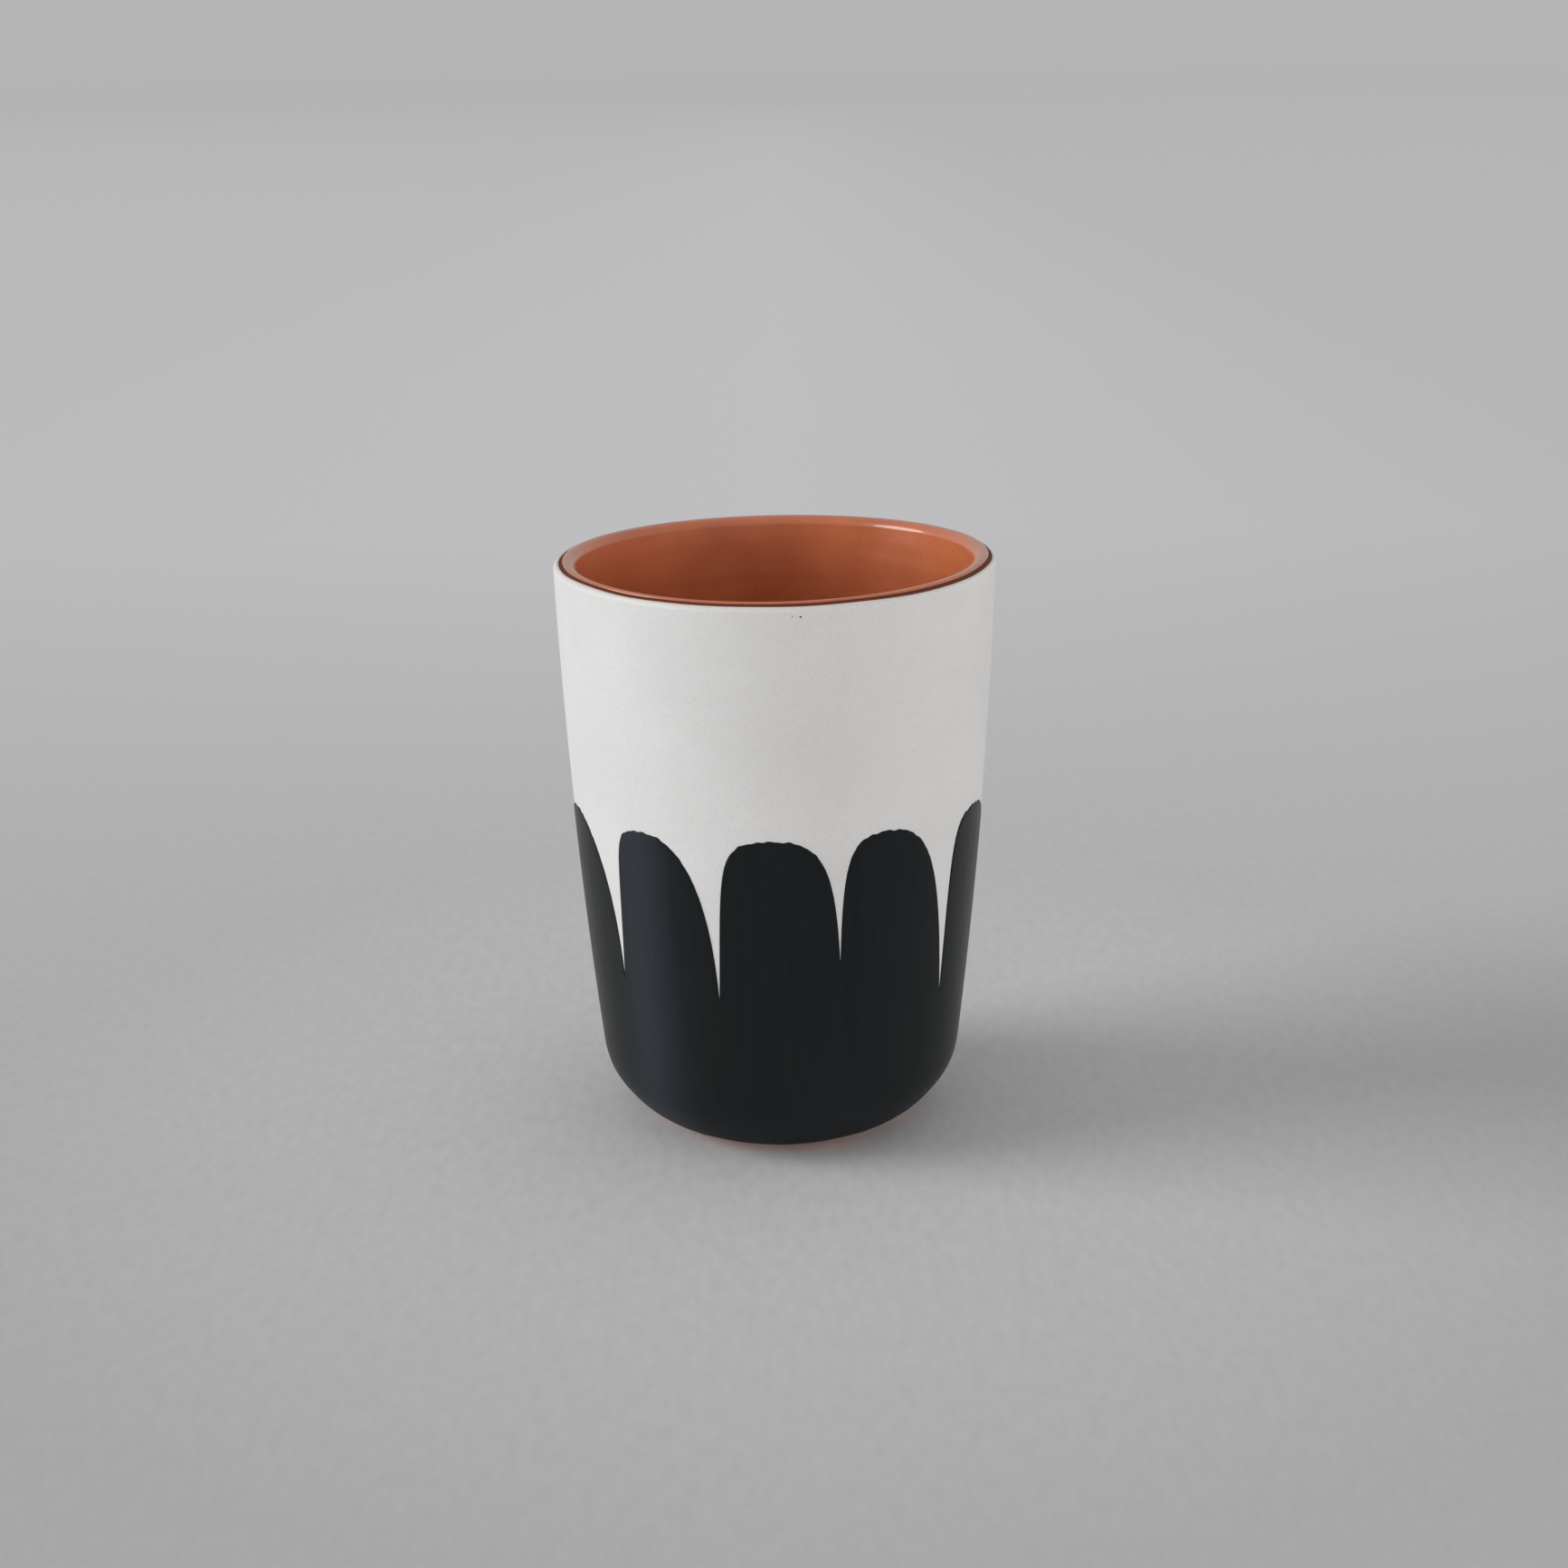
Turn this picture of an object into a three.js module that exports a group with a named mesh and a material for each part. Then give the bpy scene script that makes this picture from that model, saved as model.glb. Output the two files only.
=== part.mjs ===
// Handleless espresso cup: one turned red-clay body with three fired-on coats.
// Millimetres, +Z up. The origin is the middle of the foot, on the table, and the front faces -Y.
import * as THREE from "three";

// Clay body
const CLAY_HEIGHT = 73; // table to the top of the bare lip
const RIM_RADIUS = 27.2; // outside of the wall at the lip
const FOOT_RADIUS = 11.2; // flat that the cup stands on
const CORNER_RADIUS = 11.7; // outside round between foot and wall
const WALL_FLARE = 6.4; // degrees that the wall leans out where it leaves the corner
const WALL_THICKNESS = 2.8; // where the wall leaves the corner
const LIP_THICKNESS = 2.2;
const LIP_ROUND = 0.75; // height of the half ellipse that tops the wall
const FLOOR_THICKNESS = 4;
const INNER_CORNER_RADIUS = 10;

// Coats
const BOND = 0.05; // gap that stands for the fired bond between two layers
const GLAZE_THICKNESS = 0.25;
const WHITE_THICKNESS = 0.25;
const BLACK_THICKNESS = 0.2;
const WHITE_LIP_EDGE = 20; // degrees up the round of the lip where the white stops
const GLAZE_LIP_EDGE = 48; // degrees where the glaze stops, with a line of bare clay between the two
const WHITE_FOOT_EDGE = 4; // height on the clay of the white's lower edge, which the black covers
const BLACK_FOOT_EDGE = 2.4; // height on the clay of the black's lower edge, with bare clay below it
const HEM_CLEARANCE = 0.3; // between the white's lower edge and the step in the back of the black

// Petals of the black coat. Azimuths are degrees from the front, growing towards +X.
const CROWN_HEIGHT = 44; // usual height of a petal's top
const NOTCH_HEIGHT = 24; // usual height of the white tip between two petals
const HAND_DRIFT = 1; // the brush wanders up or down by this much for each unit of rise below
const PETALS = [
  { notch: -88, notchRise: -0.4, crown: -73, crownRise: -0.6, left: [0.18, 0.9], right: [0, 0.42] },
  { notch: -52, notchRise: -0.7, crown: -38, crownRise: 0, left: [0.34, 1], right: [0.07, 0.51] },
  { notch: -17.5, notchRise: -0.6, crown: -1, crownRise: 0.4, left: [0.14, 0.96], right: [0.1, 0.72] },
  { notch: 17, notchRise: 4.1, crown: 30, crownRise: 0.5, left: [0, 0.8], right: [0.21, 0.57] },
  { notch: 55, notchRise: -3.9, crown: 68.5, crownRise: -0.3, left: [0, 0.98], right: [0.1, 0.6] },
  { notch: 91, notchRise: 0.5, crown: 107, crownRise: 0.1, left: [0.12, 0.88], right: [0.12, 0.6] },
  { notch: 127, notchRise: -2, crown: 143, crownRise: -0.5, left: [0.22, 0.95], right: [0.08, 0.5] },
  { notch: 163, notchRise: 1.6, crown: 178, crownRise: 0.3, left: [0.08, 0.8], right: [0.15, 0.65] },
  { notch: 199, notchRise: -1.2, crown: 215, crownRise: -0.2, left: [0.15, 0.92], right: [0.1, 0.55] },
  { notch: 236, notchRise: 0.2, crown: 251.5, crownRise: 0.2, left: [0.1, 0.85], right: [0.16, 0.6] },
];
// Each flank, left and right, holds two shares of its own width: how far it leans in as it climbs, and how
// broad its shoulder is. The rise is the share of the flank's height at which its curve turns over.
const LEFT_RISE = 0.9;
const RIGHT_RISE = 0.75;

// Fineness of the facets
const TURNS = 56;
const CORNER_STEPS = 5;
const WALL_STEPS = 4;
const LIP_STEPS = 6;
const FLANK_STEPS = 6;
const PETAL_ROWS = 3;

// Derived places, in radius and height
const flare = THREE.MathUtils.degToRad(WALL_FLARE);
const footAngle = -Math.PI / 2;
const cornerCentre = new THREE.Vector2(FOOT_RADIUS, CORNER_RADIUS);
const lipRadii = new THREE.Vector2(LIP_THICKNESS / 2, LIP_ROUND);
const lipCentre = new THREE.Vector2(RIM_RADIUS, CLAY_HEIGHT).sub(lipRadii);
const innerFootRadius =
  FOOT_RADIUS + (CORNER_RADIUS - INNER_CORNER_RADIUS) * Math.cos(flare) - WALL_THICKNESS;
const innerCornerCentre = new THREE.Vector2(innerFootRadius, FLOOR_THICKNESS + INNER_CORNER_RADIUS);
const outerWall = wallCurve(cornerCentre, CORNER_RADIUS, RIM_RADIUS);
const innerWall = wallCurve(innerCornerCentre, INNER_CORNER_RADIUS, RIM_RADIUS - LIP_THICKNESS);

// A wall that leaves its corner at the flare and bows gently to the lip. Height is even along the curve.
function wallCurve(centre, cornerRadius, topRadius) {
  const spoke = new THREE.Vector2(Math.cos(flare), -Math.sin(flare));
  const foot = spoke.multiplyScalar(cornerRadius).add(centre);
  const halfRise = (lipCentre.y - foot.y) / 2;
  const bend = new THREE.Vector2(foot.x + halfRise * Math.tan(flare), foot.y + halfRise);
  return new THREE.QuadraticBezierCurve(foot, bend, new THREE.Vector2(topRadius, lipCentre.y));
}

// A station is a point of the clay's surface with the direction that faces out of the clay.
// side is 1 where that is away from the arc's centre or the cup's axis, and -1 where it is towards it.
function ellipseStations(centre, radii, from, to, steps, side) {
  const stations = [];
  for (let step = 0; step <= steps; step += 1) {
    const angle = THREE.MathUtils.lerp(from, to, step / steps);
    const spoke = new THREE.Vector2(Math.cos(angle), Math.sin(angle));
    stations.push({
      point: spoke.clone().multiply(radii).add(centre),
      facing: spoke.divide(radii).setLength(side),
    });
  }
  return stations;
}

function arcStations(centre, radius, from, to, steps, side) {
  return ellipseStations(centre, new THREE.Vector2(radius, radius), from, to, steps, side);
}

function wallStations(curve, from, to, steps, side) {
  const stations = [];
  for (let step = 1; step <= steps; step += 1) {
    const share = THREE.MathUtils.lerp(from, to, step / steps);
    const along = curve.getTangent(share);
    stations.push({
      point: curve.getPoint(share),
      facing: new THREE.Vector2(along.y, -along.x).multiplyScalar(side),
    });
  }
  return stations;
}

const cornerStations = (from, steps) => arcStations(cornerCentre, CORNER_RADIUS, from, -flare, steps, 1);
const lipStations = (from, to) => ellipseStations(lipCentre, lipRadii, from, to, LIP_STEPS, 1);
const cornerAngle = (height) => Math.asin(height / CORNER_RADIUS - 1);
const raised = (stations, thickness) =>
  stations.map(({ point, facing }) => point.clone().addScaledVector(facing, thickness));

// The inside, from the lip's inner edge down the wall and round the corner to the middle of the floor.
const insideStations = [
  ...wallStations(innerWall, 0, 1, WALL_STEPS, -1).reverse(),
  ...arcStations(innerCornerCentre, INNER_CORNER_RADIUS, -flare, footAngle, CORNER_STEPS, -1),
  { point: new THREE.Vector2(0, FLOOR_THICKNESS), facing: new THREE.Vector2(0, 1) },
];

// A solid of revolution from a profile that runs up the outside, starting and ending on the axis or closed.
function turned(profile) {
  return new THREE.LatheGeometry(profile, TURNS).rotateX(Math.PI / 2);
}

function clayBody() {
  const outside = [
    ...cornerStations(footAngle, CORNER_STEPS),
    ...wallStations(outerWall, 0, 1, WALL_STEPS, 1),
    ...lipStations(0, Math.PI).slice(1),
  ];
  const stations = [...outside, ...insideStations.slice(1)];
  return turned([new THREE.Vector2(0, 0), ...raised(stations, 0)]);
}

function innerGlaze() {
  const stations = [
    ...lipStations(THREE.MathUtils.degToRad(GLAZE_LIP_EDGE), Math.PI),
    ...insideStations.slice(1),
  ];
  const face = raised(stations, BOND + GLAZE_THICKNESS);
  const back = raised(stations, BOND);
  return turned([...back.reverse(), ...face]);
}

function whiteSlip() {
  const stations = [
    ...cornerStations(cornerAngle(WHITE_FOOT_EDGE), CORNER_STEPS),
    ...wallStations(outerWall, 0, 1, WALL_STEPS, 1),
    ...lipStations(0, THREE.MathUtils.degToRad(WHITE_LIP_EDGE)).slice(1),
  ];
  const face = raised(stations, BOND + WHITE_THICKNESS);
  const back = raised(stations, BOND);
  return turned([...face, ...back.reverse(), face[0]]);
}

// The black's upper edge as points of azimuth in degrees and height, petal by petal round the cup.
function petalEdge() {
  const edge = [];
  PETALS.forEach((petal, index) => {
    const following = PETALS[(index + 1) % PETALS.length];
    const lap = index + 1 === PETALS.length ? 360 : 0;
    const start = new THREE.Vector2(petal.notch, NOTCH_HEIGHT + petal.notchRise * HAND_DRIFT);
    const top = new THREE.Vector2(petal.crown, CROWN_HEIGHT + petal.crownRise * HAND_DRIFT);
    const end = new THREE.Vector2(following.notch + lap, NOTCH_HEIGHT + following.notchRise * HAND_DRIFT);
    const left = top.clone().sub(start);
    const right = end.clone().sub(top);
    const [leftLean, leftShoulder] = petal.left;
    const [rightLean, rightShoulder] = petal.right;
    const leftFlank = new THREE.CubicBezierCurve(
      start,
      new THREE.Vector2(start.x + leftLean * left.x, start.y + LEFT_RISE * left.y),
      new THREE.Vector2(top.x - leftShoulder * left.x, top.y),
      top,
    );
    const rightFlank = new THREE.CubicBezierCurve(
      top,
      new THREE.Vector2(top.x + rightShoulder * right.x, top.y),
      new THREE.Vector2(end.x - rightLean * right.x, end.y - RIGHT_RISE * right.y),
      end,
    );
    edge.push(...leftFlank.getPoints(FLANK_STEPS).slice(0, -1));
    edge.push(...rightFlank.getPoints(FLANK_STEPS).slice(0, -1));
  });
  return edge;
}

// The black's cut through one petal column: up its face to the given height, and down its back to the hem.
// The back lies on the white, and on the bare clay below the white's lower edge.
function blackSection(height) {
  const overWhite = BOND + WHITE_THICKNESS + BOND;
  const whiteAngle = cornerAngle(WHITE_FOOT_EDGE);
  const stepAngle = whiteAngle - HEM_CLEARANCE / CORNER_RADIUS;
  const share = (height - outerWall.v0.y) / (outerWall.v2.y - outerWall.v0.y);
  const hem = arcStations(cornerCentre, CORNER_RADIUS, cornerAngle(BLACK_FOOT_EDGE), stepAngle, 1, 1);
  const above = [
    ...hem.slice(1),
    ...cornerStations(whiteAngle, CORNER_STEPS).slice(1),
    ...wallStations(outerWall, 0, share, PETAL_ROWS, 1),
  ];
  return [
    ...raised(hem.slice(0, 1), BOND + BLACK_THICKNESS),
    ...raised(above, overWhite + BLACK_THICKNESS),
    ...raised(above, overWhite).reverse(),
    ...raised(hem, BOND).reverse(),
  ];
}

// A ring through closed sections, one for each edge point. Its flat facets stay outside the round wall.
function blackSlip() {
  const edge = petalEdge();
  const spans = edge.map((point, index) => {
    const following = edge[index + 1] ?? new THREE.Vector2(edge[0].x + 360, 0);
    return following.x - point.x;
  });
  const clearFacets = 1 / Math.cos(THREE.MathUtils.degToRad(Math.max(...spans) / 2));
  const sections = edge.map((point) => blackSection(point.y));
  const positions = [];
  edge.forEach((point, index) => {
    const azimuth = THREE.MathUtils.degToRad(point.x);
    for (const { x, y } of sections[index]) {
      const radius = x * clearFacets;
      positions.push(radius * Math.sin(azimuth), -radius * Math.cos(azimuth), y);
    }
  });
  const around = sections[0].length;
  const triangles = [];
  edge.forEach((point, index) => {
    const here = index * around;
    const beside = ((index + 1) % edge.length) * around;
    for (let row = 0; row < around; row += 1) {
      const next = (row + 1) % around;
      triangles.push(here + row, beside + row, beside + next);
      triangles.push(here + row, beside + next, here + next);
    }
  });
  const geometry = new THREE.BufferGeometry();
  geometry.setAttribute("position", new THREE.Float32BufferAttribute(positions, 3));
  geometry.setIndex(triangles);
  geometry.computeVertexNormals();
  return geometry;
}

function piece(name, geometry, color, roughness) {
  const mesh = new THREE.Mesh(geometry, new THREE.MeshStandardMaterial({ color, roughness, metalness: 0 }));
  mesh.name = name;
  return mesh;
}

const cup = new THREE.Group();
cup.add(piece("clay_body", clayBody(), 0xb06a45, 0.85));
cup.add(piece("inner_glaze", innerGlaze(), 0xa65c3a, 0.12));
cup.add(piece("white_slip", whiteSlip(), 0xdedcd8, 0.6));
cup.add(piece("black_slip", blackSlip(), 0x1d1e21, 0.45));

export default cup;
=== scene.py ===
import math

import bpy
import numpy as np
from mathutils import Matrix, Vector


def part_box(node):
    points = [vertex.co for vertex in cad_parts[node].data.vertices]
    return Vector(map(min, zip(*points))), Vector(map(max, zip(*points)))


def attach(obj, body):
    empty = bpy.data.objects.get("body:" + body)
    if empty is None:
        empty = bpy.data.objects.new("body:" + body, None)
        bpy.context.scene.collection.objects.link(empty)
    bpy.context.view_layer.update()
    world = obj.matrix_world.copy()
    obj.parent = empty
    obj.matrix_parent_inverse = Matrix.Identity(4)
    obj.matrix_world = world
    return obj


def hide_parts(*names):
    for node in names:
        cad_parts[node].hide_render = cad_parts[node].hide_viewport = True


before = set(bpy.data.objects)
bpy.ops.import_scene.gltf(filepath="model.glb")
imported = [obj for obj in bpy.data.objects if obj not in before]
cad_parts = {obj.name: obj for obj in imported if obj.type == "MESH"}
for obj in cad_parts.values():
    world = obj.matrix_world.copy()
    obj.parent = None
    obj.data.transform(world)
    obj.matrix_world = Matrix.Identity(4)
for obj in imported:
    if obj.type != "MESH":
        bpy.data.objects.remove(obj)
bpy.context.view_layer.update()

# A handleless espresso cup: red clay, clear glaze inside, white slip outside and black petals over it.
# Metres, +Z up, foot on z = 0, front towards -Y. Azimuths are measured from the front, growing towards +X.
MM = 0.001

# Clay body, as in the CAD part. Its height and rim come from the frame.
CLAY_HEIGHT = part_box("clay_body")[1].z
RIM_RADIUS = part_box("clay_body")[1].x
FOOT_RADIUS = 11.2 * MM
CORNER_RADIUS = 11.7 * MM
WALL_FLARE = math.radians(6.4)
WALL_THICKNESS = 2.8 * MM
LIP_RADII = np.array([1.1, 0.75]) * MM   # half the lip's thickness, and the height of its round
FLOOR_THICKNESS = 4 * MM
INNER_CORNER_RADIUS = 10 * MM

# Coats
BOND = 0.05 * MM             # hidden gap under every coat
GLAZE_THICKNESS = 0.25 * MM
WHITE_THICKNESS = 0.25 * MM
BLACK_THICKNESS = 0.12 * MM
ROLL = 1.2                          # width of a coat's rounded edge, in thicknesses of the coat
WHITE_LIP_EDGE = math.radians(45)   # up the round of the lip, where the white stops
GLAZE_LIP_EDGE = math.radians(80)   # where the glaze stops, with a line of bare clay between the two
WHITE_LIP_DRIFT = math.radians(8)   # how much further up the lip the white reaches on the left
GLAZE_LIP_DRIFT = math.radians(6)
GLAZE_LIP_SAG = math.radians(22)    # how much nearer the white the glaze comes at the back of the lip
LIP_EDGE_WAVES = [(5, 1.0, 0.03), (9, 4.2, 0.025), (14, 2.6, 0.02)]   # waves round the lip, phase, size
WHITE_FOOT_EDGE = 4 * MM            # height on the clay of the white's lower edge, under the black
WHITE_FEATHER = 4 * MM              # height over which the white thins out towards that edge
BLACK_FOOT_EDGE = 1.4 * MM          # height on the clay of the black's lower edge
BELT_HEIGHT = 15 * MM               # below the lowest notch, where the black is one plain band

# Petals of the black coat, as in the CAD part: azimuths in degrees, heights in millimetres.
# Each flank, left and right, holds two shares of its own width: how far it leans in as it climbs, and how
# broad its shoulder is. The rise is the share of the flank's height at which its curve turns over.
CROWN_HEIGHT = 44
NOTCH_HEIGHT = 24
LEFT_RISE = 0.9
RIGHT_RISE = 0.75
PETALS = [
    {"notch": (-88, -0.4), "crown": (-73, -0.6), "left": (0.18, 0.9), "right": (0, 0.42)},
    {"notch": (-52, -0.7), "crown": (-38, 0), "left": (0.34, 1), "right": (0.07, 0.51)},
    {"notch": (-17.5, -0.6), "crown": (-1, 0.4), "left": (0.14, 0.96), "right": (0.1, 0.72)},
    {"notch": (17, 4.1), "crown": (30, 0.5), "left": (0, 0.8), "right": (0.21, 0.57)},
    {"notch": (55, -3.9), "crown": (68.5, -0.3), "left": (0, 0.98), "right": (0.1, 0.6)},
    {"notch": (91, 0.5), "crown": (107, 0.1), "left": (0.12, 0.88), "right": (0.12, 0.6)},
    {"notch": (127, -2), "crown": (143, -0.5), "left": (0.22, 0.95), "right": (0.08, 0.5)},
    {"notch": (163, 1.6), "crown": (178, 0.3), "left": (0.08, 0.8), "right": (0.15, 0.65)},
    {"notch": (199, -1.2), "crown": (215, -0.2), "left": (0.15, 0.92), "right": (0.1, 0.55)},
    {"notch": (236, 0.2), "crown": (251.5, 0.2), "left": (0.1, 0.85), "right": (0.16, 0.6)},
]
EDGE_WOBBLE = 0.15 * MM      # how far the brush strays from its curve round a petal's top
EDGE_WAVES = [(3.1, 0.4), (1.9, 1.9), (1.2, 4.0)]   # wavelength in millimetres and phase of each stray
HEM_WOBBLE = 0.5 * MM        # how far the wiped lower edge strays
HEM_WAVES = [(7, -1.6, 0.7), (11, 2.0, 0.2), (19, 4.4, 0.1)]   # waves round the cup, phase, share

# Dark spots in the white just under the lip: azimuth in degrees, height and radius
DARK_SPOTS = [(6.2, 71.75 * MM, 0.17 * MM), (4.2, 71.85 * MM, 0.1 * MM)]
DARK_SPOT_CORE = 0.5           # share of the radius inside which a dark spot has its full colour

# Unevenness of the throwing, shared by every layer
OVALNESS = 0.08 * MM
OVAL_PHASE = -0.9
RIPPLE = 0.4 * OVALNESS      # three waves round the cup, which twist as they climb
RIPPLE_TWIST = 5             # radians from the foot to the lip
LIP_RISE = 0.47 * MM         # how much higher the lip stands at the sides and the back
LIP_DIP = 0.6 * MM           # how far it dips from there at the front
LIP_TILT = 0.18 * MM         # how much higher it stands on the right
LIP_ONSET = 4                # power of the height, so that mostly the top of the wall follows the lip

# Fineness of the meshes
TURNS = 288
AZIMUTHS = np.linspace(0, 2 * math.pi, TURNS, endpoint=False)
CORNER_ROWS = 28
WALL_ROWS = 60
LIP_ROWS = 32
FLANK_COLUMNS = 48
PETAL_ROWS = 30
BELT_ROWS = 24
BACK_ROWS = 12
BEAD_ROWS = 6

# Camera, from the photo: a square frame seen from a little above
PHOTO_SIZE = 1733
FOCAL_PIXELS = 2700
SENSOR_MM = 36
CAMERA_AIM = Vector((0.81, 0, 43.73)) * MM
CAMERA_DISTANCE = 312.6 * MM
CAMERA_ELEVATION = math.radians(16.5)
CAMERA_ROLL = math.radians(-0.82)
CAMERA_CLIP_START = 10 * MM


# Profiles. A stretch is a list of points in radius and height with the direction that faces out of the clay.

def unit(vectors):
    return vectors / np.linalg.norm(vectors, axis=-1, keepdims=True)


def arc(centre, radii, start, stop, count, side=1):
    """A stretch of a circle, or of an ellipse where radii is a pair."""
    angles = np.linspace(start, stop, count)
    spokes = np.stack([np.cos(angles), np.sin(angles)], axis=1)
    return centre + radii * spokes, side * unit(spokes / radii)


def bowed_wall(foot, top, share, side=1):
    """A wall that leaves its foot at the flare and bows to the top. Height is even along it."""
    half_rise = (top[1] - foot[1]) / 2
    bend = np.array([foot[0] + half_rise * math.tan(WALL_FLARE), foot[1] + half_rise])
    share = np.asarray(share)[..., None]
    points = (1 - share) ** 2 * foot + 2 * share * (1 - share) * bend + share ** 2 * top
    along = unit((1 - share) * (bend - foot) + share * (top - bend))
    return points, side * np.stack([along[..., 1], -along[..., 0]], axis=-1)


def corner_end(centre, radius):
    return np.array([centre[0] + radius * math.cos(WALL_FLARE), centre[1] - radius * math.sin(WALL_FLARE)])


def joined(*stretches):
    """Stretches end to end, without the point that each shares with the one before."""
    points = [stretches[0][0]] + [stretch[0][1:] for stretch in stretches[1:]]
    facing = [stretches[0][1]] + [stretch[1][1:] for stretch in stretches[1:]]
    return np.concatenate(points), np.concatenate(facing)


corner_centre = np.array([FOOT_RADIUS, CORNER_RADIUS])
lip_centre = np.array([RIM_RADIUS, CLAY_HEIGHT]) - LIP_RADII
wall_foot = corner_end(corner_centre, CORNER_RADIUS)
wall_top = np.array([RIM_RADIUS, lip_centre[1]])
corner_step = (CORNER_RADIUS - INNER_CORNER_RADIUS) * math.cos(WALL_FLARE)
inner_foot_radius = FOOT_RADIUS + corner_step - WALL_THICKNESS
inner_centre = np.array([inner_foot_radius, FLOOR_THICKNESS + INNER_CORNER_RADIUS])
inner_wall_foot = corner_end(inner_centre, INNER_CORNER_RADIUS)
inner_wall_top = np.array([RIM_RADIUS - 2 * LIP_RADII[0], lip_centre[1]])


def outside(height):
    """Points and facing of the clay's outside at the given heights, on the corner and on the wall."""
    height = np.asarray(height, dtype=float)
    angle = np.arcsin(np.clip(height / CORNER_RADIUS - 1, -1, 0))
    spokes = np.stack([np.cos(angle), np.sin(angle)], axis=-1)
    share = np.clip((height - wall_foot[1]) / (wall_top[1] - wall_foot[1]), 0, 1)
    wall_points, wall_facing = bowed_wall(wall_foot, wall_top, share)
    on_corner = (height < wall_foot[1])[..., None]
    points = np.where(on_corner, corner_centre + CORNER_RADIUS * spokes, wall_points)
    return points, np.where(on_corner, spokes, wall_facing)


def outside_from(height):
    """The outside as a stretch from the given height on the corner up to the lip."""
    start = math.asin(height / CORNER_RADIUS - 1)
    corner = arc(corner_centre, CORNER_RADIUS, start, -WALL_FLARE, CORNER_ROWS)
    return joined(corner, bowed_wall(wall_foot, wall_top, np.linspace(0, 1, WALL_ROWS)))


def lip(start, stop):
    return arc(lip_centre, LIP_RADII, start, stop, LIP_ROWS)


def lip_edges(edge, drift, sag=0):
    """How far up the round of the lip a coat reaches, for every column round the cup."""
    strays = [size * np.sin(waves * AZIMUTHS + phase) for waves, phase, size in LIP_EDGE_WAVES]
    return edge - drift * np.sin(AZIMUTHS) - sag * (1 - np.cos(AZIMUTHS)) / 2 + sum(strays)


def inside():
    """The inside as a stretch from the lip down the wall and the corner to the middle of the floor."""
    wall = bowed_wall(inner_wall_foot, inner_wall_top, np.linspace(1, 0, WALL_ROWS), side=-1)
    corner = arc(inner_centre, INNER_CORNER_RADIUS, -WALL_FLARE, -math.pi / 2, CORNER_ROWS, side=-1)
    floor_radii = np.linspace(inner_foot_radius, 0, CORNER_ROWS)
    floor = np.stack([floor_radii, np.full(CORNER_ROWS, FLOOR_THICKNESS)], axis=1)
    return joined(wall, corner, (floor, np.tile([0.0, 1.0], (CORNER_ROWS, 1))))


def smooth_step(value):
    value = np.clip(value, 0, 1)
    return value * value * (3 - 2 * value)


def white_lift(height):
    """How far the white's face stands off the clay. It thins out towards its lower edge."""
    return BOND + WHITE_THICKNESS * smooth_step((np.asarray(height) - WHITE_FOOT_EDGE) / WHITE_FEATHER)


def bead(count):
    """Shares of a rounded edge: how far in from the edge, and how high, from the edge to the full coat."""
    angle = np.linspace(0, math.pi / 2, count)
    return 1 - np.cos(angle), np.sin(angle)


def travelled(points):
    """How far each point is from the first, along the line through them all."""
    steps = np.linalg.norm(np.diff(points, axis=0), axis=1)
    return np.concatenate([[0], np.cumsum(steps)])


def rounded_coat(stretch, thickness, ends):
    """Face and back of a coat over a stretch. ends says which ends, first and last, roll to the back."""
    points, facing = stretch
    along = travelled(points)
    share = np.ones(len(points))
    roll = ROLL * np.max(thickness)
    for at_end, distance in zip(ends, (along, along[-1] - along)):
        if at_end:
            near = np.clip(distance / roll, 0, 1)
            share = np.minimum(share, np.sqrt(1 - (1 - near) ** 2))
    lift = BOND + np.asarray(thickness) * share
    return points + facing * lift[:, None], points + facing * BOND


def refined(stretch, roll, ends):
    """The stretch with its points drawn clear of the ends that are to roll over, and finer ones there."""
    points, facing = stretch
    along = travelled(points)
    inward = bead(BEAD_ROWS)[0][:-1] * roll
    first = inward if ends[0] else []
    last = along[-1] - inward[::-1] if ends[1] else []
    middle = np.interp(along, (0, along[-1]), (roll * ends[0], along[-1] - roll * ends[1]))
    places = np.concatenate([first, middle, last])
    points = np.stack([np.interp(places, along, points[:, axis]) for axis in (0, 1)], axis=1)
    facing = np.stack([np.interp(places, along, facing[:, axis]) for axis in (0, 1)], axis=1)
    return points, unit(facing)


# Meshes

def thrown(azimuth, radius, height):
    """Places in space for azimuths, radii and heights, with the slight unevenness of a hand-made cup."""
    share = np.clip(height / CLAY_HEIGHT, 0, 1)
    oval = OVALNESS * share * np.cos(2 * azimuth + OVAL_PHASE)
    ripple = RIPPLE * share * np.sin(3 * azimuth + RIPPLE_TWIST * share)
    radius = radius * (1 + (oval + ripple) / RIM_RADIUS)
    front = np.cos(azimuth)
    wave = LIP_RISE - LIP_DIP * (front + front ** 2) / 2 + LIP_TILT * np.sin(azimuth)
    height = height + wave * share ** LIP_ONSET
    return np.stack([radius * np.sin(azimuth), -radius * front, height], axis=-1)


def smooth_object(name, vertices, faces):
    mesh = bpy.data.meshes.new(name)
    mesh.from_pydata(vertices.tolist(), [], faces)
    mesh.validate()
    mesh.update()
    mesh.shade_smooth()
    piece = bpy.data.objects.new(name, mesh)
    bpy.context.scene.collection.objects.link(piece)
    return piece


def grid_faces(columns, rows, around_rows):
    """Quads of a grid that closes round its columns, and round its rows too where asked."""
    last = rows if around_rows else rows - 1
    faces = []
    for column in range(columns):
        here = column * rows
        beside = (column + 1) % columns * rows
        for row in range(last):
            following = (row + 1) % rows
            faces.append((here + row, beside + row, beside + following, here + following))
    return faces


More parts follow.
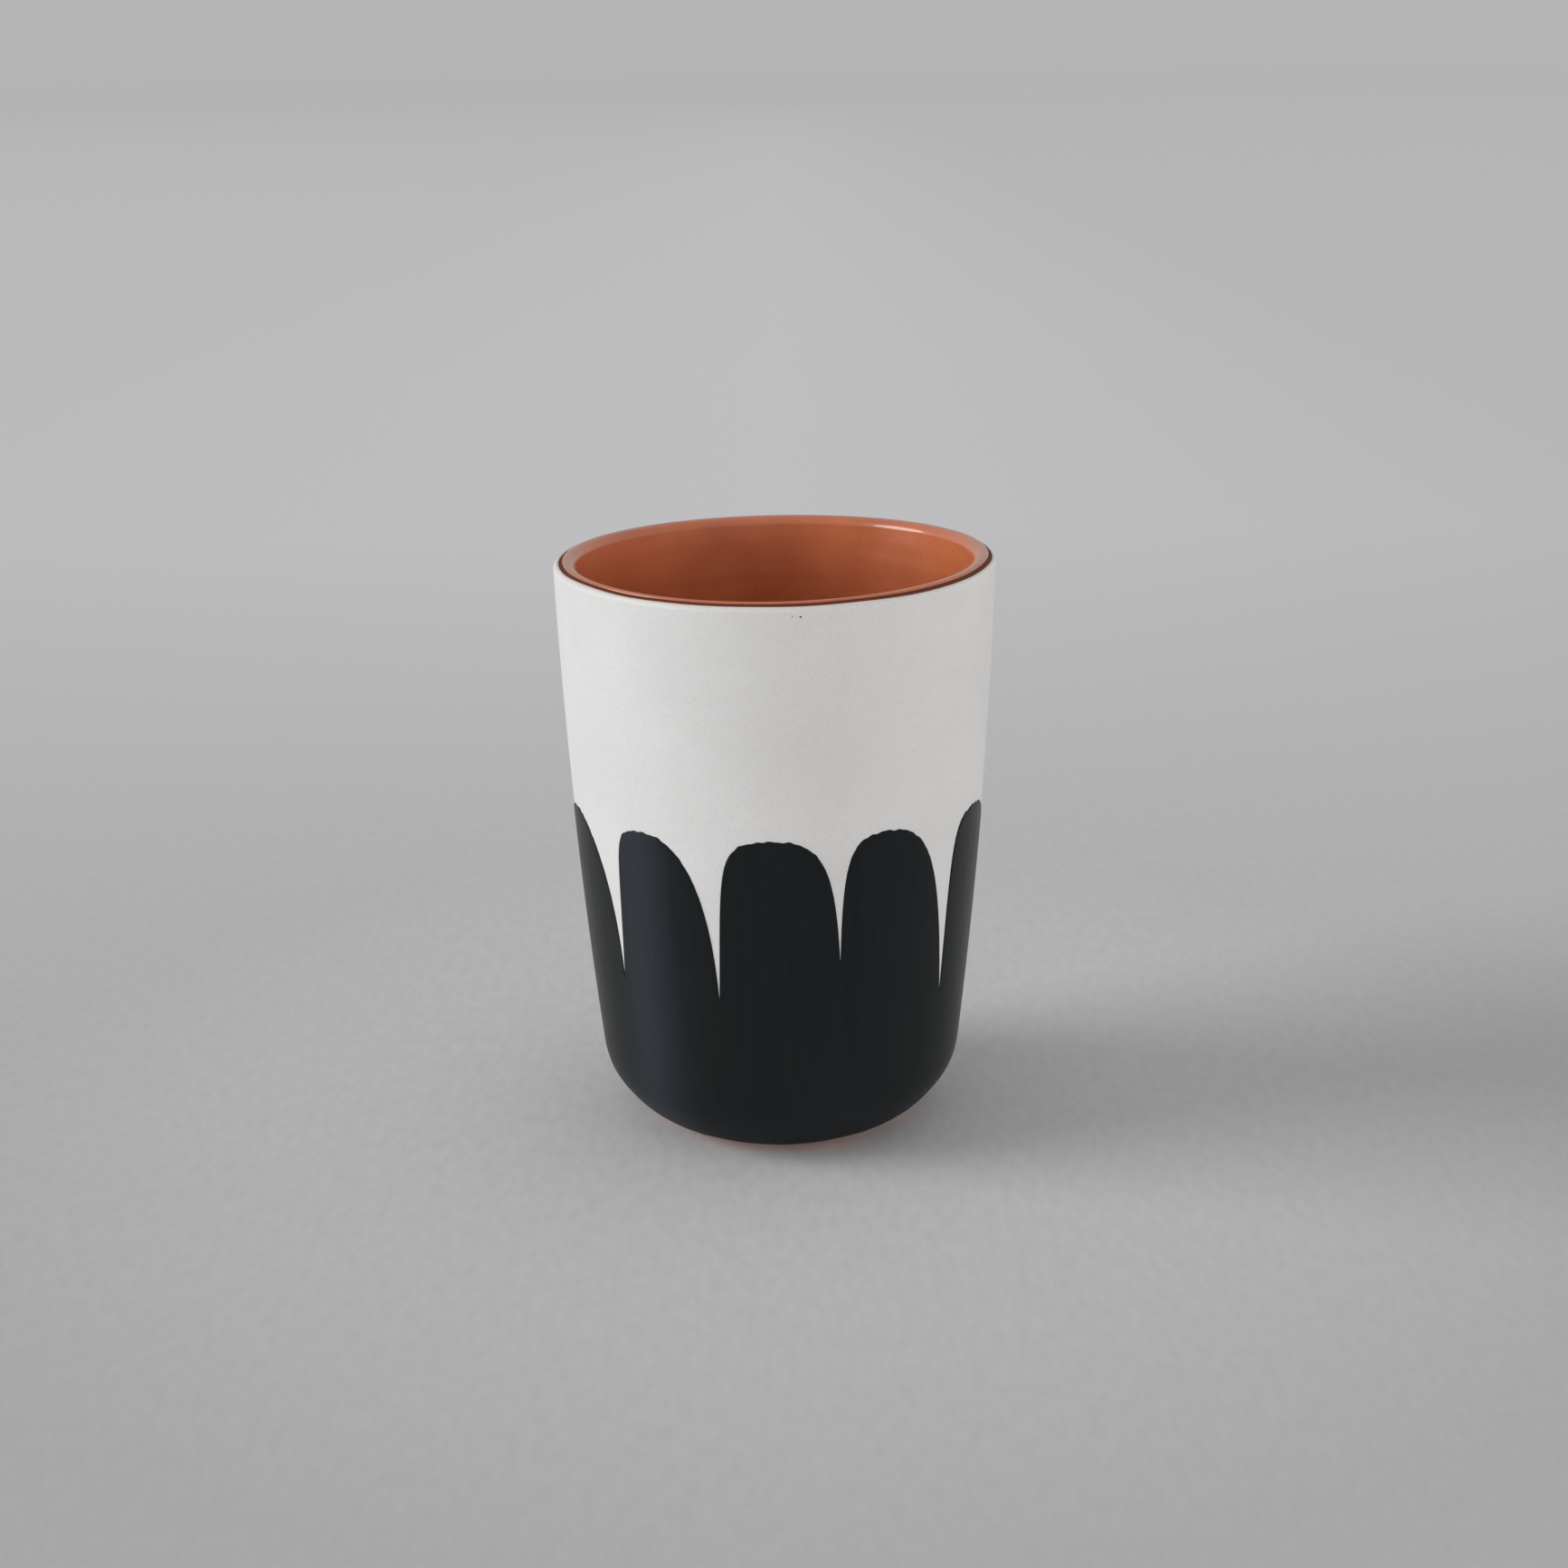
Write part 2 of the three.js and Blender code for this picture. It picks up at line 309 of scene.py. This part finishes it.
def turned_object(name, profiles):
    """A turned solid with one profile for every column round the cup.

    A profile runs up the outside, and closes on itself or has both ends on the axis.
    """
    on_axis = profiles[0][0][0] == 0
    rings = np.array([profile[1:-1] if on_axis else profile for profile in profiles])
    rows = rings.shape[1]
    vertices = thrown(AZIMUTHS[:, None], rings[..., 0], rings[..., 1]).reshape(-1, 3)
    faces = grid_faces(TURNS, rows, around_rows=not on_axis)
    if on_axis:
        poles = [thrown(0, *end) for end in (profiles[0][0], profiles[0][-1])]
        first_pole = len(vertices)
        vertices = np.concatenate([vertices, poles])
        for column in range(TURNS):
            here = column * rows
            beside = (column + 1) % TURNS * rows
            faces.append((first_pole, beside, here))
            faces.append((first_pole + 1, here + rows - 1, beside + rows - 1))
    return smooth_object(name, vertices, faces)


def clay_body():
    sole_radii = np.linspace(0, FOOT_RADIUS, CORNER_ROWS)
    sole = np.stack([sole_radii, np.zeros(CORNER_ROWS)], axis=1)
    sole_facing = np.tile([0.0, -1.0], (CORNER_ROWS, 1))
    points, _ = joined((sole, sole_facing), outside_from(0), lip(0, math.pi), inside())
    return turned_object("clay_cup", [points] * TURNS)


def inner_glaze():
    profiles = []
    for edge in lip_edges(GLAZE_LIP_EDGE, GLAZE_LIP_DRIFT, GLAZE_LIP_SAG):
        stretch = joined(lip(edge, math.pi), inside())
        stretch = refined(stretch, ROLL * GLAZE_THICKNESS, (True, False))
        face, back = rounded_coat(stretch, np.full(len(stretch[0]), GLAZE_THICKNESS), (True, False))
        profiles.append(np.concatenate([back[::-1], face[1:]]))
    return turned_object("clear_glaze", profiles)


def white_slip():
    profiles = []
    for edge in lip_edges(WHITE_LIP_EDGE, WHITE_LIP_DRIFT):
        stretch = joined(outside_from(WHITE_FOOT_EDGE), lip(0, edge))
        stretch = refined(stretch, ROLL * WHITE_THICKNESS, (False, True))
        thickness = white_lift(stretch[0][:, 1]) - BOND
        face, back = rounded_coat(stretch, thickness, (False, True))
        profiles.append(np.concatenate([face, back[-2:0:-1]]))
    return turned_object("white_coat", profiles)


# Black coat

PETAL_RADIUS = outside((CROWN_HEIGHT + NOTCH_HEIGHT) / 2 * MM)[0][0]   # of the unrolled wall


def bezier(first, second, third, fourth, count):
    share = np.linspace(0, 1, count, endpoint=False)[:, None]
    rest = 1 - share
    return (rest ** 3 * first + 3 * rest ** 2 * share * second
            + 3 * rest * share ** 2 * third + share ** 3 * fourth)


def petal_edge():
    """The upper edge, petal by petal round the cup, and azimuths spread evenly along each flank.

    The edge's points hold an azimuth in radians and a height in metres.
    """
    flanks, spread = [], []
    for petal, following in zip(PETALS, PETALS[1:] + PETALS[:1]):
        lap = 360 if following is PETALS[0] else 0
        start = np.array([0, NOTCH_HEIGHT]) + petal["notch"]
        top = np.array([0, CROWN_HEIGHT]) + petal["crown"]
        end = np.array([lap, NOTCH_HEIGHT]) + following["notch"]
        left = top - start
        right = end - top
        (left_lean, left_shoulder), (right_lean, right_shoulder) = petal["left"], petal["right"]
        climb = start + left * (left_lean, LEFT_RISE)
        fall = end - right * (right_lean, RIGHT_RISE)
        flanks.append(bezier(start, climb, top - left * (left_shoulder, 0), top, FLANK_COLUMNS))
        flanks.append(bezier(top, top + right * (right_shoulder, 0), fall, end, FLANK_COLUMNS))
        spread.append(np.linspace(start[0], top[0], FLANK_COLUMNS, endpoint=False))
        spread.append(np.linspace(top[0], end[0], FLANK_COLUMNS, endpoint=False))
    return np.concatenate(flanks) * (math.radians(1), MM), np.radians(np.concatenate(spread))


def brushed(edge):
    """The edge with the brush's small strays round the petals' tops, and the way into the black there."""
    lap = np.array([2 * math.pi * PETAL_RADIUS, 0])
    along = np.roll(edge, -1, axis=0) - np.roll(edge, 1, axis=0)
    along[[0, -1]] += lap
    along = unit(along)
    inward = np.stack([along[:, 1], -along[:, 0]], axis=1)
    distance = travelled(edge) / MM
    stray = sum(np.sin(2 * math.pi * distance / length + phase) for length, phase in EDGE_WAVES)
    level = np.clip(along[:, 0], 0, 1) ** 2
    return edge + inward * (EDGE_WOBBLE / len(EDGE_WAVES) * stray * level)[:, None], inward


def between(first, last, count):
    """Rows from the first to the last, without the first."""
    return [first + (last - first) * share for share in np.linspace(0, 1, count + 1)[1:]]


def black_slip():
    """The black coat on the unrolled wall: down its face from the petals' edge to the hem, and up its back.

    Below the petals the columns spread evenly, so that they don't crowd under the notches.
    """
    edge, spread = petal_edge()
    edge, inward = brushed(edge * (PETAL_RADIUS, 1))
    roll = ROLL * BLACK_THICKNESS
    roll_in, roll_up = bead(BEAD_ROWS)
    strays = [share * np.sin(waves * spread + phase) for waves, phase, share in HEM_WAVES]
    hem_height = BLACK_FOOT_EDGE + HEM_WOBBLE * sum(strays)
    column = spread * PETAL_RADIUS
    belt = np.stack([column, np.full(len(column), BELT_HEIGHT)], axis=1)
    hem = np.stack([column, hem_height], axis=1)
    up = np.array([0, roll])

    rows = [edge + inward * roll * share for share in roll_in]
    lifts = list(roll_up)
    face = between(rows[-1], belt, PETAL_ROWS) + between(belt, hem + up, BELT_ROWS)
    rows += face + [hem + up * share for share in roll_in[-2::-1]]
    lifts += [1] * len(face) + list(roll_up[-2::-1])
    back = between(hem, belt, BACK_ROWS) + between(belt, edge, BACK_ROWS)[:-1]
    rows += back
    lifts += [0] * len(back)

    flat = np.stack(rows, axis=1)
    points, facing = outside(flat[..., 1])
    lift = white_lift(flat[..., 1]) + BLACK_THICKNESS * np.array(lifts)
    placed = points + facing * lift[..., None]
    vertices = thrown(flat[..., 0] / PETAL_RADIUS, placed[..., 0], placed[..., 1]).reshape(-1, 3)
    faces = grid_faces(len(edge), len(rows), around_rows=True)
    return smooth_object("black_petals", vertices, [face[::-1] for face in faces])


# Materials

DARK_START = 0.5 * MM                 # heights between which the clay darkens above the foot
DARK_END = 3 * MM
LIP_SHADE_START = CLAY_HEIGHT - 4 * MM   # heights between which it takes a painted shade near the lip, for the dark line in the groove between the glaze and the white
LIP_SHADE_END = CLAY_HEIGHT - 2 * MM
SPECK_CORE = 0.4                      # share of its radius inside which a speck has its full colour
SPECK_CHOICE = 0.01                   # softness of the choice of cells that have a speck


class NodeTree:
    """Short forms for building the nodes of a material or of the world."""

    def __init__(self, tree):
        self.nodes = tree.nodes
        self.links = tree.links

    def node(self, kind, inputs, **settings):
        node = self.nodes.new(kind)
        for name, value in settings.items():
            setattr(node, name, value)
        for name, value in inputs.items():
            if isinstance(value, bpy.types.NodeSocket):
                self.links.new(value, node.inputs[name])
            else:
                node.inputs[name].default_value = value
        return node

    def math(self, operation, first, second):
        inputs = {0: first, 1: second}
        return self.node("ShaderNodeMath", inputs, operation=operation, use_clamp=True).outputs[0]

    def range(self, value, low, high, to_low=0.0, to_high=1.0):
        inputs = {"Value": value, "From Min": low, "From Max": high, "To Min": to_low, "To Max": to_high}
        return self.node("ShaderNodeMapRange", inputs).outputs["Result"]

    def mix(self, factor, first, second):
        inputs = {0: factor, 6: first, 7: second}
        return self.node("ShaderNodeMix", inputs, data_type="RGBA").outputs[2]


class Surface(NodeTree):
    """A procedural material. Patterns are laid in the cup's own space, in metres, so they have no seams."""

    def __init__(self, name, **constants):
        self.material = bpy.data.materials.new(name)
        self.material.use_nodes = True
        super().__init__(self.material.node_tree)
        self.shader = self.nodes["Principled BSDF"]
        coordinates = self.nodes.new("ShaderNodeTexCoord").outputs
        self.place = coordinates["Object"]
        self.facing = coordinates["Normal"]
        for socket, value in constants.items():
            self.shader.inputs[socket.replace("_", " ")].default_value = value

    def stretched(self, scale):
        return self.node("ShaderNodeMapping", {"Vector": self.place, "Scale": scale}).outputs["Vector"]

    def noise(self, size, detail=3.0, stretch=(1, 1, 1)):
        """Soft noise from 0 to 1 with blotches of about the given size."""
        inputs = {"Vector": self.stretched(stretch), "Scale": 1 / size, "Detail": detail}
        return self.node("ShaderNodeTexNoise", inputs).outputs["Fac"]

    def specks(self, spacing, speck_size, share):
        """1 inside small specks, which only the given share of evenly spaced cells have."""
        inputs = {"Vector": self.place, "Scale": 1 / spacing}
        cells = self.node("ShaderNodeTexVoronoi", inputs)
        radius = speck_size / spacing
        inside = self.range(cells.outputs["Distance"], radius, SPECK_CORE * radius)
        chosen = self.range(cells.outputs["Color"], share, share - SPECK_CHOICE)
        return self.math("MULTIPLY", inside, chosen)

    def part(self, vector, axis):
        return self.node("ShaderNodeSeparateXYZ", {"Vector": vector}).outputs[axis]

    def distance(self, spot):
        inputs = {0: self.place, 1: spot}
        return self.node("ShaderNodeVectorMath", inputs, operation="DISTANCE").outputs["Value"]

    def bump(self, height, depth, over=None):
        inputs = {"Height": height, "Distance": depth, "Strength": 1.0}
        if over is not None:
            inputs["Normal"] = over
        return self.node("ShaderNodeBump", inputs).outputs["Normal"]

    def set(self, **sockets):
        for name, value in sockets.items():
            self.links.new(value, self.shader.inputs[name.replace("_", " ")])


def colour(red, green, blue):
    """A colour written as it shows on a screen, from 0 to 255, in the linear numbers that a shader takes."""
    linear = []
    for part in (red, green, blue):
        share = part / 255
        linear.append(share / 12.92 if share <= 0.04045 else ((share + 0.055) / 1.055) ** 2.4)
    return (*linear, 1.0)


def clay_material():
    clay = Surface("bare_clay", Specular_IOR_Level=0.3)
    blotches = clay.noise(6 * MM)
    grain = clay.noise(0.35 * MM, detail=2.0)
    tone = clay.mix(clay.range(blotches, 0.3, 0.7), colour(160, 88, 58), colour(184, 108, 74))
    tone = clay.mix(clay.range(grain, 0.55, 0.75, 0, 0.5), tone, colour(122, 66, 46))
    tone = clay.mix(clay.specks(2.2 * MM, 0.16 * MM, 0.3), tone, colour(214, 168, 132))
    height = clay.part(clay.place, "Z")
    # painted shade: the clay darkens near the lip, for the dark line in the groove between the glaze and the
    # white
    lip_shade = clay.range(height, LIP_SHADE_START, LIP_SHADE_END, 0, 0.9)
    tone = clay.mix(lip_shade, tone, colour(120, 66, 50))
    dark = clay.range(height, DARK_START, DARK_END, 0, 0.7)
    tone = clay.mix(dark, tone, colour(98, 58, 48))
    rings = clay.noise(0.5 * MM, detail=1.0, stretch=(0.1, 0.1, 1))
    normal = clay.bump(grain, 0.06 * MM, clay.bump(rings, 0.03 * MM))
    clay.set(Base_Color=tone, Roughness=clay.range(grain, 0.2, 0.8, 0.78, 0.92), Normal=normal)
    return clay.material


def glaze_material():
    glaze = Surface("clear_glaze_over_clay", Coat_Weight=0.9, Coat_Roughness=0.08, Specular_IOR_Level=0.4)
    blotches = glaze.noise(9 * MM)
    grain = glaze.noise(0.5 * MM, detail=2.0)
    rings = glaze.noise(3.2 * MM, detail=1.0, stretch=(0.08, 0.08, 1))
    tone = glaze.mix(glaze.range(blotches, 0.3, 0.7), colour(188, 101, 60), colour(206, 114, 70))
    tone = glaze.mix(glaze.range(rings, 0.5, 0.8, 0, 0.35), tone, colour(168, 85, 49))
    tone = glaze.mix(glaze.range(grain, 0.6, 0.8, 0, 0.35), tone, colour(148, 74, 45))
    tone = glaze.mix(glaze.specks(3.0 * MM, 0.15 * MM, 0.25), tone, colour(92, 48, 32))
    normal = glaze.bump(rings, 0.12 * MM, glaze.bump(grain, 0.01 * MM))
    glaze.set(Base_Color=tone, Roughness=glaze.range(blotches, 0.3, 0.7, 0.32, 0.44), Normal=normal)
    return glaze.material


def white_material():
    white = Surface("white_slip", Specular_IOR_Level=0.35)
    blotches = white.noise(11 * MM)
    streaks = white.noise(1.6 * MM, detail=4.0, stretch=(0.12, 0.12, 1))
    grain = white.noise(0.22 * MM, detail=2.0)
    tone = white.mix(white.range(blotches, 0.3, 0.7), colour(226, 225, 224), colour(231, 230, 229))
    tone = white.mix(white.range(streaks, 0.5, 0.8, 0, 0.3), tone, colour(222, 221, 218))
    tone = white.mix(white.range(grain, 0.5, 0.75, 0, 0.45), tone, colour(208, 205, 199))
    thin = white.range(white.part(white.facing, "Z"), 0.3, 0.9, 0, 0.5)
    tone = white.mix(thin, tone, colour(228, 200, 184))
    tone = white.mix(white.specks(4.5 * MM, 0.12 * MM, 0.05), tone, colour(110, 98, 88))
    for azimuth, height, radius in DARK_SPOTS:
        spot = thrown(np.radians(azimuth), RIM_RADIUS + white_lift(height), height)
        dark_spot = white.range(white.distance(spot), radius, DARK_SPOT_CORE * radius)
        tone = white.mix(dark_spot, tone, colour(78, 62, 54))
    normal = white.bump(grain, 0.035 * MM, white.bump(streaks, 0.045 * MM))
    white.set(Base_Color=tone, Roughness=white.range(grain, 0.3, 0.7, 0.5, 0.62), Normal=normal)
    return white.material


def black_material():
    """Fine turning lines round the cup draw the shine of a light out into an upright band."""
    black = Surface("black_slip", Specular_IOR_Level=0.26, Specular_Tint=(0.5, 0.66, 1.0, 1.0),
                    Anisotropic=0.95, Anisotropic_Rotation=0.25)
    strokes = black.noise(0.9 * MM, detail=4.0, stretch=(1, 1, 0.06))
    blotches = black.noise(8 * MM, detail=2.0, stretch=(1, 1, 0.4))
    grain = black.noise(0.2 * MM, detail=2.0)
    tone = black.mix(black.range(strokes, 0.35, 0.7), colour(25, 26, 22), colour(29, 30, 25))
    tone = black.mix(black.range(blotches, 0.5, 0.75, 0, 0.5), tone, colour(31, 32, 27))
    tone = black.mix(black.specks(3.4 * MM, 0.1 * MM, 0.06), tone, colour(60, 58, 56))
    shine = black.range(strokes, 0.3, 0.7, 0.4, 0.46)
    normal = black.bump(grain, 0.008 * MM, black.bump(strokes, 0.005 * MM))
    black.set(Base_Color=tone, Roughness=shine, Normal=normal)
    return black.material


# Stage

FLOOR_RADIUS = 30.0
FLOOR_SIDES = 96
FLOOR_SHADED_FRONT = -0.1                # depth of the paper's front part, darkened by painted shade, behind which painted light pales it
FLOOR_LIT_BACK = 0.4
FLOOR_SHADED_FRONT_COLOUR = colour(206, 204, 205)
FLOOR_LIT_BACK_COLOUR = colour(230, 229, 231)
FLOOR_PAINTED_LIGHT_COLOUR = colour(243, 242, 243)
# colour of the painted shade at the paper's sides, and of its own mottling
FLOOR_SHADE_AND_MOTTLE_COLOUR = colour(140, 139, 140)
FLOOR_FAR_COLOUR = colour(217, 216, 217)
FLOOR_PAINTED_LIGHT_RADIUS = 0.11          # from the cup, out to which a painted pool of light makes the paper paler
FLOOR_PAINTED_LIGHT_SHARE = 0.62
FLOOR_SIDE = 0.3                  # to either side, where the painted shade on the paper has its full share
FLOOR_LEFT_SHADE_SHARE = 0.07
FLOOR_RIGHT_SHADE_SHARE = 0.14
FLOOR_FAR_START = 0.8             # from the cup, where the paper starts to change to its tone far away
FLOOR_FAR_END = 8.0
FLOOR_MOTTLE_SHARE = 0.15
FLOOR_MOTTLE_SIZE = 1.4 * MM
FLOOR_MOTTLE_STRETCH = (1, 0.4, 1)
FLOOR_MOTTLE_RADIUS = 0.25        # from the cup, where the mottling has faded out
BACKDROP_COLOUR = colour(180, 180, 181)
FILL_OVERHEAD = (0.36, 0.36, 0.36, 1.0)
FILL_BRIGHT_SIDE = (3.5, 3.47, 3.42, 1.0)
FILL_DARK_SIDE = (0.46, 0.46, 0.46, 1.0)
FILL_AZIMUTH = math.radians(70)   # where the fill along the horizon is brightest
FILL_HORIZON = math.radians(25)   # height at which the fill along the horizon has given way to the overhead
WINDOW_COLOUR = (0.96, 0.985, 1.0)
WINDOW_STRENGTH = 1.9
WINDOW_WIDTH = math.radians(36)
WINDOW_AZIMUTH = math.radians(-85)
WINDOW_ELEVATION = math.radians(20)


def floor():
    azimuth = np.linspace(0, 2 * math.pi, FLOOR_SIDES, endpoint=False)
    rim = np.stack([np.cos(azimuth), np.sin(azimuth), np.zeros(FLOOR_SIDES)], axis=1) * FLOOR_RADIUS
    ground = smooth_object("floor", rim, [tuple(range(FLOOR_SIDES))])
    paper = Surface("pale_paper", Roughness=0.9, Specular_IOR_Level=0.0)
    # painted shade at the front of the paper, giving way to painted light towards the back
    depth = paper.range(paper.part(paper.place, "Y"), FLOOR_SHADED_FRONT, FLOOR_LIT_BACK)
    tone = paper.mix(depth, FLOOR_SHADED_FRONT_COLOUR, FLOOR_LIT_BACK_COLOUR)
    distance = paper.distance((0, 0, 0))
    # painted light: a paler pool on the paper round the cup, lightening the cup's shade on it
    pale = paper.range(distance, 0, FLOOR_PAINTED_LIGHT_RADIUS, FLOOR_PAINTED_LIGHT_SHARE, 0)
    tone = paper.mix(pale, tone, FLOOR_PAINTED_LIGHT_COLOUR)
    across = paper.part(paper.place, "X")
    # painted shade, darker towards either side of the paper and more on the right
    left = paper.range(across, -FLOOR_SIDE, 0, FLOOR_LEFT_SHADE_SHARE, 0)
    right = paper.range(across, 0, FLOOR_SIDE, 0, FLOOR_RIGHT_SHADE_SHARE)
    tone = paper.mix(paper.math("ADD", left, right), tone, FLOOR_SHADE_AND_MOTTLE_COLOUR)
    tone = paper.mix(paper.range(distance, FLOOR_FAR_START, FLOOR_FAR_END), tone, FLOOR_FAR_COLOUR)
    near = paper.range(distance, 0, FLOOR_MOTTLE_RADIUS, FLOOR_MOTTLE_SHARE, 0)
    mottle = paper.noise(FLOOR_MOTTLE_SIZE, detail=8.0, stretch=FLOOR_MOTTLE_STRETCH)
    mottle = paper.range(mottle, 0.35, 0.75)
    tone = paper.mix(paper.math("MULTIPLY", mottle, near), tone, FLOOR_SHADE_AND_MOTTLE_COLOUR)
    paper.set(Base_Color=tone)
    ground.data.materials.append(paper.material)


def direction(azimuth, elevation):
    """Unit vector from the cup towards a place seen at that azimuth from the front and that elevation."""
    level = math.cos(elevation)
    return Vector((level * math.sin(azimuth), -level * math.cos(azimuth), math.sin(elevation)))


def window_light():
    """Soft light from the left, wide enough to blur the shadow and even over the whole floor."""
    lamp = bpy.data.lights.new("window", "SUN")
    lamp.energy = WINDOW_STRENGTH
    lamp.angle = WINDOW_WIDTH
    lamp.color = WINDOW_COLOUR
    holder = bpy.data.objects.new("window", lamp)
    towards = direction(WINDOW_AZIMUTH, WINDOW_ELEVATION)
    holder.location = towards
    holder.rotation_euler = towards.to_track_quat("Z", "Y").to_euler()
    bpy.context.scene.collection.objects.link(holder)


def room_light():
    """Fill from all round. The camera, and what mirrors or lets through, sees the backdrop's colour."""
    world = bpy.data.worlds.new("room")
    world.use_nodes = True
    room = NodeTree(world.node_tree)
    towards = room.node("ShaderNodeTexCoord", {}).outputs["Generated"]
    inputs = {0: towards, 1: direction(FILL_AZIMUTH, 0)}
    turned = room.node("ShaderNodeVectorMath", inputs, operation="DOT_PRODUCT").outputs["Value"]
    horizon = room.mix(room.range(turned, -1, 1), FILL_DARK_SIDE, FILL_BRIGHT_SIDE)
    height = room.node("ShaderNodeSeparateXYZ", {"Vector": towards}).outputs["Z"]
    tint = room.mix(room.range(height, 0, math.sin(FILL_HORIZON)), horizon, FILL_OVERHEAD)
    fill = room.node("ShaderNodeBackground", {"Color": tint})
    backdrop = room.node("ShaderNodeBackground", {"Color": BACKDROP_COLOUR})
    rays = room.node("ShaderNodeLightPath", {}).outputs
    seen = room.math("ADD", rays["Is Camera Ray"], rays["Is Glossy Ray"])
    seen = room.math("ADD", seen, rays["Is Transmission Ray"])
    both = room.node("ShaderNodeMixShader", {0: seen, 1: fill.outputs[0], 2: backdrop.outputs[0]})
    room.links.new(both.outputs[0], room.nodes["World Output"].inputs["Surface"])
    bpy.context.scene.world = world


def camera():
    lens = bpy.data.cameras.new("camera")
    lens.sensor_width = SENSOR_MM
    lens.lens = SENSOR_MM * FOCAL_PIXELS / PHOTO_SIZE
    lens.clip_start = CAMERA_CLIP_START
    lens.clip_end = 2 * FLOOR_RADIUS
    holder = bpy.data.objects.new("camera", lens)
    back = direction(0, CAMERA_ELEVATION)
    level = Vector((1, 0, 0))
    upright = back.cross(level)
    right = level * math.cos(CAMERA_ROLL) + upright * math.sin(CAMERA_ROLL)
    up = upright * math.cos(CAMERA_ROLL) - level * math.sin(CAMERA_ROLL)
    turn = Matrix((right, up, back)).transposed().to_4x4()
    holder.matrix_world = Matrix.Translation(CAMERA_AIM + back * CAMERA_DISTANCE) @ turn
    bpy.context.scene.collection.objects.link(holder)
    bpy.context.scene.camera = holder


# The scene

camera()
floor()
window_light()
room_light()
bpy.context.scene.view_settings.view_transform = "Standard"

for build, material, node in (
    (clay_body, clay_material, "clay_body"),
    (inner_glaze, glaze_material, "inner_glaze"),
    (white_slip, white_material, "white_slip"),
    (black_slip, black_material, "black_slip"),
):
    piece = build()
    piece.data.materials.append(material())
    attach(piece, "root")
    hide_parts(node)
